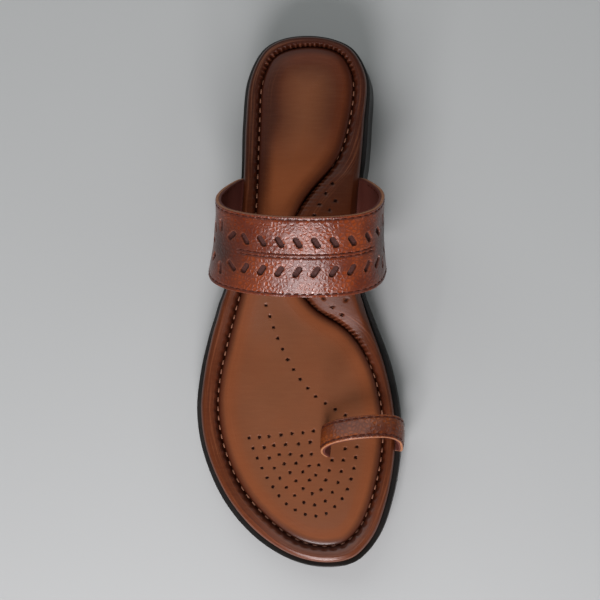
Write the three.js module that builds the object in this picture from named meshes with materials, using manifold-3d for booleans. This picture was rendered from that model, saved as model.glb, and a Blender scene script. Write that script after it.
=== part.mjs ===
// Flat leather sandal for the right foot: a moulded outsole with a low heel, a stitched
// and padded footbed, a broad instep band with punched slots, and a loop for the big toe.
// Millimetres, +Z up. The toe points to -Y and the big-toe side is +X.
import * as THREE from "three";
import { mergeVertices } from "three/addons/utils/BufferGeometryUtils.js";
import Module from "manifold-3d";

const wasm = await Module();
wasm.setup();

// Sole sizes
const soleLength = 248; // heel to toe along the floor
const ballWidth = 96; // outsole across the ball of the foot
const heelHeight = 24; // outsole under the heel
const ballThickness = 9; // outsole under the ball
const toeSpring = 9; // lift of the toe tip off the floor
const archLift = 7; // lift of the waist off the floor
const lipHeight = 3.2; // welt lip around the outsole's top
const lipOverhang = 0.9; // how far the lip stands over the wall below it
const wallFlare = 1.1; // how far the heel's wall spreads on its way to the floor
const edgeBevel = 1.1; // bevel where the wall meets the floor
const lipRound = 0.5; // softened corners of the lip
const weltLedge = 2.6; // outsole that shows outside the footbed

// Footbed sizes
const footbedThickness = 6.8; // at the crest of the rim
const rimWidth = 9.6; // welt edge to the stitched seam, at the ball
const rimReach = 7; // width of the rounded rim where the seam runs further in
const padShoulder = 8; // width of the pad's soft shoulder inside the seam
const archRise = 4; // extra height of the arch cushion

// Instep band sizes
const bandWidth = 38.5;
const bandThickness = 2.6;
const heelToBand = 67.5; // heel to the band's rear edge, at the feather line
const bandLean = 24; // degrees that the band leans towards the toe
const bandRearRise = 55; // feather line to the top of the rear edge, along the lean
const bandFrontRise = 47; // the same for the front edge
const bandBulge = 9; // how far the sides stand outside the welt
const bandRearShoulder = 25; // feather line to the rear edge's widest place, along the lean
const bandFrontShoulder = 13; // the same for the front edge
const strapTuck = 9; // strap held between outsole and footbed

// Punched slots of the band
const slotLength = 6;
const slotWidth = 2.1;
const slotDepth = 1.2;
const slotPitch = 8;
const slotSlant = 36; // degrees from the line straight across the band
const slotRowOffset = 7; // row to the band's centre line
const flowerRadius = 10.3; // centre of the flower to the middle of a petal
const flowerFromEnd = 49; // band's hidden outer end to the outer flower's centre
const slotsFromFlower = 14.5; // a flower's centre to the nearest pair of slots
const slotPairs = 8; // pairs of slots between the two flowers

// Toe loop sizes
const loopWidth = 11.8;
const loopThickness = 2.2;
const heelToLoop = 192; // heel to the middle of the loop's foot
const loopLean = 23; // degrees that the loop leans towards the heel
const loopFrontRise = 21; // footbed to the top of the front edge, along the lean
const loopRearRise = 17; // the same for the rear edge
const loopInnerReach = 33.2; // welt's big-toe edge to the slot between the toes
const loopBulge = 0.6; // how far the outer leg stands outside the welt
const loopSkew = 3; // how much nearer the heel the outer leg stands than the inner one

const clearance = 0.3; // gap between pieces that touch

// Places along the sole, as shares of its length from the heel
const seatEndShare = 0.22; // end of the level heel seat
const ballStartShare = 0.62; // where the sole has come down to the ball
const springStartShare = 0.75; // where the toe begins to lift
const breastFootShare = 0.29; // heel's front edge on the floor
const breastTopShare = 0.325; // top of the heel's sloping front
const waistEndShare = 0.36; // where the raised waist begins to come down
const treadStartShare = 0.6; // where the sole meets the floor again
const archStartShare = 0.2; // rear end of the arch cushion
const archFullShare = 0.4;
const archFallShare = 0.44;

// Mesh fineness
const stationCount = 52;
const padSteps = 5;
const bandSteps = 60;
const bandStrips = 3;
const loopSteps = 40;
const loopStrips = 2;

// The outsole's outline from above, a row for each section. along is the share of the
// sole's length from the heel; the outer, little-toe side and the inner, big-toe side are
// shares of the ball width. The ledges are shares of weltLedge and the seams of rimWidth,
// both inwards from the outline. The inner seam swings in round the arch cushion.
const outline = [
  { along: 0.0096, outer: 0.082, inner: 0.188, outerLedge: 0.5, innerLedge: 0.46, outerSeam: 0.69, innerSeam: 0.58 },
  { along: 0.03, outer: 0.164, inner: 0.284, outerLedge: 0.58, innerLedge: 0.46, outerSeam: 0.71, innerSeam: 0.63 },
  { along: 0.085, outer: 0.235, inner: 0.355, outerLedge: 0.65, innerLedge: 0.46, outerSeam: 0.77, innerSeam: 0.71 },
  { along: 0.17, outer: 0.259, inner: 0.353, outerLedge: 0.65, innerLedge: 0.76, outerSeam: 0.86, innerSeam: 0.86 },
  { along: 0.24, outer: 0.264, inner: 0.34, outerLedge: 0.6, innerLedge: 0.8, outerSeam: 0.84, innerSeam: 1.25 },
  { along: 0.27, outer: 0.267, inner: 0.329, outerLedge: 0.57, innerLedge: 0.7, outerSeam: 0.84, innerSeam: 1.6 },
  { along: 0.3, outer: 0.27, inner: 0.32, outerLedge: 0.55, innerLedge: 0.65, outerSeam: 0.83, innerSeam: 2.24 },
  { along: 0.36, outer: 0.288, inner: 0.307, outerLedge: 0.55, innerLedge: 0.55, outerSeam: 0.86, innerSeam: 3.18 },
  { along: 0.42, outer: 0.32, inner: 0.305, outerLedge: 0.55, innerLedge: 0.48, outerSeam: 0.85, innerSeam: 3.44 },
  { along: 0.48, outer: 0.363, inner: 0.322, outerLedge: 0.58, innerLedge: 0.6, outerSeam: 0.88, innerSeam: 2.8 },
  { along: 0.505, outer: 0.389, inner: 0.343, outerLedge: 0.61, innerLedge: 0.72, outerSeam: 0.94, innerSeam: 2.01 },
  { along: 0.53, outer: 0.409, inner: 0.367, outerLedge: 0.65, innerLedge: 0.85, outerSeam: 0.98, innerSeam: 1.47 },
  { along: 0.555, outer: 0.431, inner: 0.392, outerLedge: 0.7, innerLedge: 0.93, outerSeam: 1.01, innerSeam: 1.15 },
  { along: 0.58, outer: 0.449, inner: 0.418, outerLedge: 0.75, innerLedge: 1.0, outerSeam: 1.04, innerSeam: 1.01 },
  { along: 0.63, outer: 0.479, inner: 0.461, outerLedge: 0.84, innerLedge: 1.04, outerSeam: 1.04, innerSeam: 0.87 },
  { along: 0.71, outer: 0.5, inner: 0.5, outerLedge: 0.9, innerLedge: 1.0, outerSeam: 1.09, innerSeam: 0.83 },
  { along: 0.79, outer: 0.468, inner: 0.502, outerLedge: 0.92, innerLedge: 0.94, outerSeam: 1.12, innerSeam: 0.86 },
  { along: 0.88, outer: 0.364, inner: 0.462, outerLedge: 1.06, innerLedge: 0.94, outerSeam: 1.12, innerSeam: 0.94 },
  { along: 0.9493, outer: 0.205, inner: 0.394, outerLedge: 1.06, innerLedge: 0.96, outerSeam: 1.13, innerSeam: 1.0 },
  { along: 0.9915, outer: 0.017, inner: 0.292, outerLedge: 1.0, innerLedge: 1.0, outerSeam: 1.02, innerSeam: 1.06 },
];
const heelTip = { along: 0.0018, inner: 0.049, ledge: 0.5, seam: 0.63 };
const toeTip = { along: 1.0032, inner: 0.156, ledge: 1, seam: 1.02 };

// The footbed's section from its edge to the seam. across is 0 at the edge and 1 at the
// seam; height is a share of footbedThickness.
const rimSection = [
  { across: 0, height: 0.42 },
  { across: 0.05, height: 0.66 },
  { across: 0.16, height: 0.86 },
  { across: 0.34, height: 0.985 },
  { across: 0.48, height: 1 },
  { across: 0.6, height: 1 },
  { across: 0.74, height: 0.97 },
  { across: 0.9, height: 0.83 },
  { across: 1, height: 0.66 },
];

// The pad's section inwards from the seam, as shares of padShoulder and footbedThickness.
const padSection = [
  { reach: 0.11, height: 0.83 },
  { reach: 0.32, height: 0.94 },
  { reach: 0.62, height: 1 },
  { reach: 1, height: 1.03 },
];

// The footbed's underside, as shares of weltLedge inwards from its edge and of
// footbedThickness upwards.
const footbedUnderside = [
  { inset: 2, height: 0 },
  { inset: 0.35, height: 0 },
  { inset: 0.06, height: 0.14 },
];

// The instep band's folds. Up to its widest place, out runs from 0 at the footbed's edge
// to 1 at the widest, and up from the feather line to that place. Above it, across runs
// from -1 on the little-toe side to 1 on the big-toe side, and up from there to the top.
const bandLegFolds = [
  { out: -0.2, up: 0 },
  { out: 0.03, up: 0.01 },
  { out: 0.22, up: 0.07 },
  { out: 0.46, up: 0.24 },
  { out: 0.7, up: 0.46 },
  { out: 0.9, up: 0.72 },
  { out: 1, up: 1 },
];
const bandTopFolds = [
  { across: -0.985, up: 0.25 },
  { across: -0.92, up: 0.48 },
  { across: -0.78, up: 0.68 },
  { across: -0.54, up: 0.85 },
  { across: -0.24, up: 0.955 },
  { across: 0.1, up: 1 },
  { across: 0.42, up: 0.985 },
  { across: 0.7, up: 0.89 },
  { across: 0.88, up: 0.7 },
  { across: 0.965, up: 0.46 },
  { across: 0.995, up: 0.22 },
];

// The toe loop's folds above the footbed. across runs from 0 at the slot between the toes
// to 1 at the widest place outside the welt, and up is a share of the rise.
const loopTopFolds = [
  { across: -0.01, up: 0.03 },
  { across: -0.065, up: 0.28 },
  { across: -0.05, up: 0.58 },
  { across: 0.08, up: 0.84 },
  { across: 0.32, up: 0.975 },
  { across: 0.6, up: 1.0 },
  { across: 0.84, up: 0.9 },
  { across: 0.97, up: 0.62 },
  { across: 1.0, up: 0.28 },
];

const { clamp, lerp, smoothstep, degToRad } = THREE.MathUtils;

const yAt = (along) => soleLength * (0.5 - along);
const alongAt = (y) => 0.5 - y / soleLength;

// The sole's outline as one closed curve. Its third coordinate carries the ledge or seam.
function outlineCurve(kind) {
  const size = kind === "Ledge" ? weltLedge : rimWidth;
  const tipKey = kind.toLowerCase();
  const tip = (t) => new THREE.Vector3(t.inner * ballWidth, yAt(t.along), t[tipKey] * size);
  const outer = outline.map(
    (r) => new THREE.Vector3(-r.outer * ballWidth, yAt(r.along), r["outer" + kind] * size),
  );
  const inner = outline.map(
    (r) => new THREE.Vector3(r.inner * ballWidth, yAt(r.along), r["inner" + kind] * size),
  );
  const points = [tip(heelTip), ...outer, tip(toeTip), ...inner.reverse()];
  return new THREE.CatmullRomCurve3(points, true, "centripetal");
}

const ledgeCurve = outlineCurve("Ledge");
const seamCurve = outlineCurve("Seam");

// The curve parameter where one side of the outline passes a section.
function crossing(along, innerSide) {
  let low = innerSide ? 1 : 0;
  let high = 0.5;
  for (let step = 0; step < 40; step += 1) {
    const middle = (low + high) / 2;
    if (alongAt(ledgeCurve.getPoint(middle).y) < along) low = middle;
    else high = middle;
  }
  return (low + high) / 2;
}

// Stations close up towards the heel and the toe, where the outline turns.
function outlineParameters() {
  const parameters = [0];
  const share = (k) => 0.5 - 0.5 * Math.cos((Math.PI * k) / stationCount);
  for (let k = 1; k < stationCount; k += 1) parameters.push(crossing(share(k), false));
  parameters.push(0.5);
  for (let k = stationCount - 1; k > 0; k -= 1) parameters.push(crossing(share(k), true));
  return parameters;
}

// Unit vectors that point inwards along a closed loop of plan points.
function inwardNormals(loop) {
  return loop.map((p, i) => {
    const before = loop[(i + loop.length - 1) % loop.length];
    const after = loop[(i + 1) % loop.length];
    return new THREE.Vector2(-(after.y - before.y), after.x - before.x).normalize();
  });
}

// A closed loop with its corners eased, by moving each point towards its neighbours.
function softened(loop, passes) {
  let soft = loop;
  for (let pass = 0; pass < passes; pass += 1) {
    soft = soft.map((p, i) => {
      const before = soft[(i + soft.length - 1) % soft.length];
      const after = soft[(i + 1) % soft.length];
      return { x: (before.x + 2 * p.x + after.x) / 4, y: (before.y + 2 * p.y + after.y) / 4 };
    });
  }
  return soft;
}

const outlinePoints = outlineParameters().map((t) => {
  const p = ledgeCurve.getPoint(t);
  return { x: p.x, y: p.y, ledge: p.z, seam: seamCurve.getPoint(t).z };
});
const outlineNormals = inwardNormals(outlinePoints);
const inset = (i, distance) => ({
  x: outlinePoints[i].x + outlineNormals[i].x * distance,
  y: outlinePoints[i].y + outlineNormals[i].y * distance,
});
const seamPoints = softened(outlinePoints.map((p, i) => inset(i, p.seam)), 2);
const seamNormals = inwardNormals(seamPoints);

// Heights along the sole
const springShare = (along) => clamp((along - springStartShare) / (1 - springStartShare), 0, 1);
const springLift = (along) => toeSpring * springShare(along) ** 2;
const heelShare = (along) => 1 - smoothstep(along, seatEndShare, ballStartShare);
const seatHeight = (along) => lerp(ballThickness, heelHeight, heelShare(along)) + springLift(along);
const bump = (along, a, b, c, d) => smoothstep(along, a, b) * (1 - smoothstep(along, c, d));
const waistShare = (along) => bump(along, breastFootShare, breastTopShare, waistEndShare, treadStartShare);
const floorHeight = (along) => archLift * waistShare(along) + springLift(along);
const archShare = (along) => bump(along, archStartShare, archFullShare, archFallShare, ballStartShare);

function geometryOf(vertices, triangles) {
  const geometry = new THREE.BufferGeometry();
  geometry.setAttribute("position", new THREE.Float32BufferAttribute(vertices.flat(), 3));
  geometry.setIndex(triangles.flat());
  return geometry;
}

function toManifold(geometry) {
  const bare = geometry.clone().deleteAttribute("normal").deleteAttribute("uv");
  const merged = mergeVertices(bare, 1e-4);
  return new wasm.Manifold(
    new wasm.Mesh({
      numProp: 3,
      vertProperties: merged.attributes.position.array,
      triVerts: new Uint32Array(merged.index.array),
    }),
  );
}

function fromManifold(solid) {
  const mesh = solid.getMesh();
  const geometry = new THREE.BufferGeometry();
  geometry.setAttribute("position", new THREE.BufferAttribute(mesh.vertProperties, 3));
  geometry.setIndex(new THREE.BufferAttribute(mesh.triVerts, 1));
  geometry.computeVertexNormals();
  return geometry;
}

// A closed body from loops that run from the underside, round the edge, to the top. Each
// loop starts at the heel and passes the toe halfway, so two sides pair off in sections.
function loopedBody(loops, topSteps, topHeight) {
  const size = loops[0].length;
  const half = size / 2;
  const vertices = loops.flat();
  const triangles = [];
  for (let ring = 0; ring + 1 < loops.length; ring += 1) {
    for (let i = 0; i < size; i += 1) {
      const next = (i + 1) % size;
      const [a, b] = [ring * size + i, ring * size + next];
      const [c, d] = [a + size, b + size];
      triangles.push([a, b, d], [a, d, c]);
    }
  }
  // A cap joins the two sides of a loop, in sections of equal steps.
  const cap = (base, steps, height, faceUp) => {
    const section = (k) => {
      if (k === 0 || k === half) return [base + k];
      const [left, right] = [base + k, base + size - k];
      const row = [left];
      for (let step = 1; step < steps; step += 1) {
        const share = step / steps;
        const x = lerp(vertices[left][0], vertices[right][0], share);
        const y = lerp(vertices[left][1], vertices[right][1], share);
        vertices.push([x, y, height(y)]);
        row.push(vertices.length - 1);
      }
      return [...row, right];
    };
    const face = (a, b, c) => triangles.push(faceUp ? [a, b, c] : [a, c, b]);
    const pick = (row, step) => row[Math.min(step, row.length - 1)];
    let upper = section(0);
    for (let k = 1; k <= half; k += 1) {
      const lower = section(k);
      for (let step = 0; step < steps; step += 1) {
        const [a, b] = [pick(upper, step), pick(upper, step + 1)];
        const [c, d] = [pick(lower, step), pick(lower, step + 1)];
        if (c !== d) face(a, c, d);
        if (a !== b) face(a, d, b);
      }
      upper = lower;
    }
  };
  cap(0, 1, null, false);
  cap((loops.length - 1) * size, topSteps, topHeight, true);
  return geometryOf(vertices, triangles);
}

// Outsole: flat under the heel and the ball, with a breast, a raised waist, toe spring, a
// flared wall and a welt lip.
function outsoleGeometry() {
  const flare = (along) => (wallFlare * (seatHeight(along) - floorHeight(along))) / heelHeight;
  const wall = [
    { inset: (a) => 3 * edgeBevel - flare(a), z: floorHeight },
    { inset: (a) => edgeBevel - flare(a), z: floorHeight },
    { inset: (a) => -flare(a), z: (a) => floorHeight(a) + edgeBevel },
    { inset: () => lipOverhang, z: (a) => seatHeight(a) - lipHeight },
    { inset: () => 0, z: (a) => seatHeight(a) - lipHeight + lipRound },
    { inset: () => 0, z: (a) => seatHeight(a) - lipRound },
    { inset: () => lipRound, z: seatHeight },
    { inset: () => rimReach, z: seatHeight },
  ];
  const loops = wall.map((row) =>
    outlinePoints.map((p, i) => {
      const at = inset(i, row.inset(alongAt(p.y)));
      return [at.x, at.y, row.z(alongAt(at.y))];
    }),
  );
  return loopedBody(loops, 1, null);
}

// Where the rim's section falls between the footbed's edge and the seam. The round parts
// keep their size, and what is left over spreads through the middle.
function rimInset(point, across) {
  const width = point.seam - point.ledge;
  const rounded = Math.min(width, rimReach);
  return point.ledge + across * rounded + (width - rounded) * smoothstep(across, 0.34, 0.74);
}

const footbedBase = (y) => seatHeight(alongAt(y)) + clearance;

function footbedGeometry() {
  const loops = [];
  for (const row of footbedUnderside) {
    loops.push(
      outlinePoints.map((p, i) => {
        const at = inset(i, p.ledge + row.inset * weltLedge);
        return [at.x, at.y, footbedBase(at.y) + row.height * footbedThickness];
      }),
    );
  }
  for (const row of rimSection) {
    loops.push(
      outlinePoints.map((p, i) => {
        const at = inset(i, rimInset(p, row.across));
        const spread = clamp((p.seam - p.ledge - rimReach) / rimReach, 0, 1);
        const crown = Math.sin(Math.PI * row.across) ** 2;
        const rise = archRise * archShare(alongAt(at.y)) * spread * crown;
        return [at.x, at.y, footbedBase(at.y) + row.height * footbedThickness + rise];
      }),
    );
  }
  for (const row of padSection) {
    const reach = row.reach * padShoulder;
    const moved = seamPoints.map((p, i) => ({
      x: p.x + seamNormals[i].x * reach,
      y: p.y + seamNormals[i].y * reach,
    }));
    loops.push(
      softened(moved, Math.round(reach)).map((p) => [
        p.x,
        p.y,
        footbedBase(p.y) + row.height * footbedThickness,
      ]),
    );
  }
  const padHeight = padSection.at(-1).height;
  return loopedBody(loops, padSteps, (y) => footbedBase(y) + padHeight * footbedThickness);
}

// A strap of even thickness over a grid of middle points, closed on all four sides.
function strapGeometry(grid, thickness) {
  const rows = grid.length;
  const columns = grid[0].length;
  const at = (r, c) => grid[clamp(r, 0, rows - 1)][clamp(c, 0, columns - 1)];
  const side = (sign) =>
    grid.flatMap((line, r) =>
      line.map((p, c) => {
        const across = at(r + 1, c).clone().sub(at(r - 1, c));
        const lengthwise = at(r, c + 1).clone().sub(at(r, c - 1));
        const normal = across.cross(lengthwise).normalize();
        return p.clone().addScaledVector(normal, (sign * thickness) / 2).toArray();
      }),
    );
  const vertices = [...side(1), ...side(-1)];
  const below = rows * columns;
  const triangles = [];
  const quad = (a, b, c, d) => triangles.push([a, c, b], [a, d, c]);
  for (let r = 0; r + 1 < rows; r += 1) {
    for (let c = 0; c + 1 < columns; c += 1) {
      const [a, b] = [r * columns + c, r * columns + c + 1];
      const [d, e] = [a + columns, b + columns];
      quad(a, b, e, d);
      quad(a + below, d + below, e + below, b + below);
    }
  }
  for (let c = 0; c + 1 < columns; c += 1) {
    const last = (rows - 1) * columns;
    quad(c, c + below, c + 1 + below, c + 1);
    quad(last + c, last + c + 1, last + c + 1 + below, last + c + below);
  }
  for (let r = 0; r + 1 < rows; r += 1) {
    const [a, d] = [r * columns, (r + 1) * columns];
    quad(a, d, d + below, a + below);
    const [b, e] = [a + columns - 1, d + columns - 1];
    quad(b, b + below, e + below, e);
  }
  return geometryOf(vertices, triangles);
}

// A smooth line through a strap's folds.
function foldCurve(points) {
  const curve = new THREE.CatmullRomCurve3(points, false, "catmullrom", 0.5);
  curve.arcLengthDivisions = 600;
  return curve;
}

// Rows of middle points across a strap's width; edge widens it by that much on each side
// and lengthens it at both ends.
function strapGrid(pointsAt, strips, steps, width, edge) {
  const rows = [];
  for (let r = 0; r <= strips; r += 1) {
    const share = lerp(-edge / width, 1 + edge / width, r / strips);
    rows.push(foldCurve(pointsAt(share, edge)).getSpacedPoints(steps));
  }
  return rows;
}

// The outline's reach and ledge where a strap leaves the sole.
function outlineAt(y, innerSide) {
  const point = ledgeCurve.getPoint(crossing(alongAt(y), innerSide));
  return { x: point.x, ledge: point.z };
}

// The band's folds at a share of its width, 0 at the rear edge and 1 at the front. Its
// ends can be drawn longer.
function bandPoints(share, longer = 0) {
  const y = yAt(0) - heelToBand - share * bandWidth * Math.cos(degToRad(bandLean / 2));
  const lean = degToRad(bandLean);
  const shoulder = lerp(bandRearShoulder, bandFrontShoulder, share);
  const rise = lerp(bandRearRise, bandFrontRise, share);
  const base = seatHeight(alongAt(y)) + clearance + bandThickness / 2;
  const outer = outlineAt(y, false);
  const inner = outlineAt(y, true);
  const outerFoot = outer.x + outer.ledge;
  const innerFoot = inner.x - inner.ledge;
  const outerWidest = outer.x - bandBulge * lerp(0.87, 0.86, share);
  const innerWidest = inner.x + bandBulge * lerp(1, 1.31, share);
  const place = (x, up) => new THREE.Vector3(x, y - up * Math.sin(lean), base + up * Math.cos(lean));
  const leg = (foot, widest) =>
    bandLegFolds.map((f) => place(lerp(foot, widest, f.out), f.up * shoulder));
  const top = bandTopFolds.map((f) =>
    place(lerp(outerWidest, innerWidest, (f.across + 1) / 2), lerp(shoulder, rise, f.up)),
  );
  return [
    place(outerFoot + strapTuck + longer, 0),
    ...leg(outerFoot, outerWidest),
    ...top,
    ...leg(innerFoot, innerWidest).reverse(),
    place(innerFoot - strapTuck - longer, 0),
  ];
}

// Position and directions on the band's middle surface, at a length from the middle of
// the band and a distance from its centre line.
function bandFrame(along, offset) {
  const share = 0.5 + offset / bandWidth;
  const curve = foldCurve(bandPoints(share));
  const beside = foldCurve(bandPoints(share + 0.02));
  const u = 0.5 + along / curve.getLength();
  const position = curve.getPointAt(u);
  const lengthwise = curve.getTangentAt(u);
  const across = beside.getPointAt(u).sub(position).normalize();
  const normal = across.cross(lengthwise).normalize();
  const basis = new THREE.Matrix4().makeBasis(lengthwise, normal.clone().cross(lengthwise), normal);
  return basis.setPosition(position);
}

// A slot's cutter: a long oval that stands through the band's face, slanted in its plane.
function slotCutter(along, offset, slant) {
  const shape = new THREE.Shape();
  const straight = (slotLength - slotWidth) / 2;
  shape.absarc(0, straight, slotWidth / 2, 0, Math.PI, false);
  shape.absarc(0, -straight, slotWidth / 2, Math.PI, 2 * Math.PI, false);
  const settings = { depth: 2 * slotDepth, bevelEnabled: false, curveSegments: 4 };
  const geometry = new THREE.ExtrudeGeometry(shape, settings);
  geometry.rotateZ(degToRad(slant));
  geometry.translate(0, 0, bandThickness / 2 - slotDepth);
  return toManifold(geometry.applyMatrix4(bandFrame(along, offset)));
}

// Seven petals round a flower's centre, open on the side that faces the other flower.
function flowerCutters(centre, facing) {
  return [1, 2, 3, 4, 5, 6, 7].map((petal) => {
    const angle = facing + 45 * petal;
    const x = flowerRadius * Math.cos(degToRad(angle));
    const y = flowerRadius * Math.sin(degToRad(angle));
    return slotCutter(centre + x, y, 90 - angle);
  });
}

// Two rows of slanted slots in chevrons, between two flowers.
function slotCutters() {
  const outerFlower = flowerFromEnd - foldCurve(bandPoints(0.5)).getLength() / 2;
  const firstPair = outerFlower + slotsFromFlower;
  const lastPair = firstPair + (slotPairs - 1) * slotPitch;
  const cutters = [
    ...flowerCutters(outerFlower, 0),
    ...flowerCutters(lastPair + slotsFromFlower, 180),
  ];
  for (let pair = 0; pair < slotPairs; pair += 1) {
    const at = firstPair + pair * slotPitch;
    cutters.push(slotCutter(at, -slotRowOffset, slotSlant));
    cutters.push(slotCutter(at, slotRowOffset, -slotSlant));
  }
  return cutters;
}

// The loop's folds at a share of its width. It starts in the footbed's slot between the
// toes and ends tucked under the footbed on the big-toe side.
function loopPoints(share, longer = 0) {
  const y = yAt(0) - heelToLoop + (0.5 - share) * loopWidth;
  const lean = degToRad(loopLean);
  const rise = lerp(loopRearRise, loopFrontRise, share);
  const seat = seatHeight(alongAt(y)) + clearance;
  const welt = outlineAt(y, true);
  const slotX = welt.x - loopInnerReach;
  const widest = welt.x + loopBulge;
  const padTop = seat + footbedThickness;
  const tucked = seat + loopThickness / 2;
  const footbedEdge = welt.x - welt.ledge;
  const top = loopTopFolds.map(
    (f) =>
      new THREE.Vector3(
        lerp(slotX, widest, f.across),
        y + f.up * rise * Math.sin(lean) + f.across * loopSkew,
        padTop + f.up * rise * Math.cos(lean),
      ),
  );
  const down = (x, z) => new THREE.Vector3(x, y + (x > slotX ? loopSkew : 0), z);
  return [
    down(slotX, seat - longer),
    down(slotX, lerp(seat, padTop, 0.5)),
    ...top,
    down(lerp(footbedEdge, widest, 0.9), lerp(tucked, padTop, 0.42)),
    down(lerp(footbedEdge, widest, 0.5), lerp(tucked, padTop, 0.08)),
    down(lerp(footbedEdge, widest, -0.4), tucked),
    down(footbedEdge - strapTuck - longer, tucked),
  ];
}

const bandSolid = (grow) =>
  toManifold(
    strapGeometry(
      strapGrid(bandPoints, bandStrips, bandSteps, bandWidth, grow),
      bandThickness + 2 * grow,
    ),
  );
const loopSolid = (grow) =>
  toManifold(
    strapGeometry(
      strapGrid(loopPoints, loopStrips, loopSteps, loopWidth, grow),
      loopThickness + 2 * grow,
    ),
  );

// The footbed is relieved where the straps pass under it and through it.
function relievedFootbed() {
  const whole = toManifold(footbedGeometry());
  return whole.subtract(bandSolid(clearance)).subtract(loopSolid(clearance));
}

function punchedBand() {
  return slotCutters().reduce((band, cutter) => band.subtract(cutter), bandSolid(0));
}

function piece(name, geometry, color, roughness) {
  const material = new THREE.MeshStandardMaterial({ color, roughness, metalness: 0 });
  const mesh = new THREE.Mesh(geometry, material);
  mesh.name = name;
  return mesh;
}

const sandal = new THREE.Group();
sandal.add(
  piece("outsole", outsoleGeometry(), "#17130f", 0.5),
  piece("footbed", fromManifold(relievedFootbed()), "#7a4a32", 0.45),
  piece("instep_band", fromManifold(punchedBand()), "#8a4527", 0.4),
  piece("toe_loop", fromManifold(loopSolid(0)), "#7e4025", 0.4),
);

// The origin is on the floor, under the middle of the whole sandal.
const extent = new THREE.Box3().setFromObject(sandal);
const middle = extent.getCenter(new THREE.Vector3());
sandal.position.set(-middle.x, -middle.y, -extent.min.z);

export default sandal;
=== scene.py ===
import bmesh
import bpy
import numpy as np
from mathutils import Matrix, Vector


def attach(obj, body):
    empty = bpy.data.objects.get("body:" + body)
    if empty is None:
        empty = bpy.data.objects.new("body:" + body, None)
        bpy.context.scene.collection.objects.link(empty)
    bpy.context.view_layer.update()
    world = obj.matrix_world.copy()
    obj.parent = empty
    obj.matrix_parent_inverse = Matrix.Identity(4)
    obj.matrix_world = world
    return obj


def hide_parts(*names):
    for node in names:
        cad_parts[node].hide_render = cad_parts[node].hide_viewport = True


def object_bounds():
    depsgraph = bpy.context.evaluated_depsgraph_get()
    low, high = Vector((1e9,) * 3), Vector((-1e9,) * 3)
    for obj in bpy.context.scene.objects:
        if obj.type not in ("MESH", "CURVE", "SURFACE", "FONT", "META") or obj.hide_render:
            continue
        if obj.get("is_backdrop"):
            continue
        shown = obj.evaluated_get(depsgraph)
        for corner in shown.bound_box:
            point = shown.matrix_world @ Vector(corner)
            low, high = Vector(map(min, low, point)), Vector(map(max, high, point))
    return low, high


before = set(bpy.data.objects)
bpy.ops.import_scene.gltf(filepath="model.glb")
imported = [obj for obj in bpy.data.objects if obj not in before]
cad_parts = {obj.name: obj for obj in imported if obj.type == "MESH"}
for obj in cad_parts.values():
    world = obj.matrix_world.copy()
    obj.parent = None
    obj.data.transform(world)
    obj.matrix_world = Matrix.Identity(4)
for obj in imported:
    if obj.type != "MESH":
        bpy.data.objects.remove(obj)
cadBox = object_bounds()
print("frame loaded")

mm = 0.001
planShift = np.array([-0.9258, 0.2763, 0])  # from the last's plan to the frame's origin, in mm

sole = {  # mm, except the shares of the length from the heel
    "length": 248, "ball": 96, "heel": 24, "ballThickness": 9, "toeSpring": 9, "archLift": 7,
    "lip": 3.2, "lipOverhang": 0.9, "flare": 1.1, "edgeRound": 1.1, "lipRound": 0.5,
    "ledge": 2.6, "rim": 9.6,
    "seatEnd": 0.22, "ballStart": 0.62, "springStart": 0.75, "breast": (0.29, 0.325),
    "waist": (0.36, 0.6), "archRise": (0.2, 0.4), "archFall": (0.44, 0.62),
    "treadRecess": ((5.0, 0.9), (3.4, 0.8), (3.1, 0)),  # in from the wall, up from the floor
    "underLip": ((0.78, 0.12), (0.22, 0.2)),  # in from the edge, up from the lip's foot
    "lipSide": 0.25, "lipTaper": 0.7, "seatRings": (1.2, 2.4, 4.2, 7), "stations": 900,
}
treadPattern = {  # mm, except the shares of a groove's pitch and of the length
    "inset": 4.4, "pitch": 5.2, "zigzagWidth": 9, "zigzagReach": 4.5, "depth": 0.55,
    "groove": (0.22, 0.42), "border": (2.6, 3.4), "plainWaist": ((0.27, 0.3), (0.5, 0.54)),
    "lines": (420, 130), "thickness": 1.6,
}
outlineRows = np.array([  # along, outer, inner, outer ledge, inner ledge, outer seam, inner seam
    (0.0096, 0.082, 0.188, 0.5, 0.46, 0.69, 0.58), (0.03, 0.164, 0.284, 0.58, 0.46, 0.71, 0.63),
    (0.085, 0.235, 0.355, 0.65, 0.46, 0.77, 0.71), (0.17, 0.259, 0.353, 0.65, 0.76, 0.86, 0.86),
    (0.24, 0.264, 0.34, 0.6, 0.8, 0.84, 1.25), (0.27, 0.267, 0.329, 0.57, 0.7, 0.84, 1.6),
    (0.3, 0.27, 0.32, 0.55, 0.65, 0.83, 2.24), (0.36, 0.288, 0.307, 0.55, 0.55, 0.86, 3.18),
    (0.42, 0.32, 0.305, 0.55, 0.48, 0.85, 3.44), (0.48, 0.363, 0.322, 0.58, 0.6, 0.88, 2.8),
    (0.505, 0.389, 0.343, 0.61, 0.72, 0.94, 2.01), (0.53, 0.409, 0.367, 0.65, 0.85, 0.98, 1.47),
    (0.555, 0.431, 0.392, 0.7, 0.93, 1.01, 1.15), (0.58, 0.449, 0.418, 0.75, 1, 1.04, 1.01),
    (0.63, 0.479, 0.461, 0.84, 1.04, 1.04, 0.87), (0.71, 0.5, 0.5, 0.9, 1, 1.09, 0.83),
    (0.79, 0.468, 0.502, 0.92, 0.94, 1.12, 0.86), (0.88, 0.364, 0.462, 1.06, 0.94, 1.12, 0.94),
    (0.9493, 0.205, 0.394, 1.06, 0.96, 1.13, 1), (0.9915, 0.017, 0.292, 1, 1, 1.02, 1.06),
])
heelTip = (0.0018, 0.049, 0.5, 0.63)  # along, inner, ledge, seam
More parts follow.
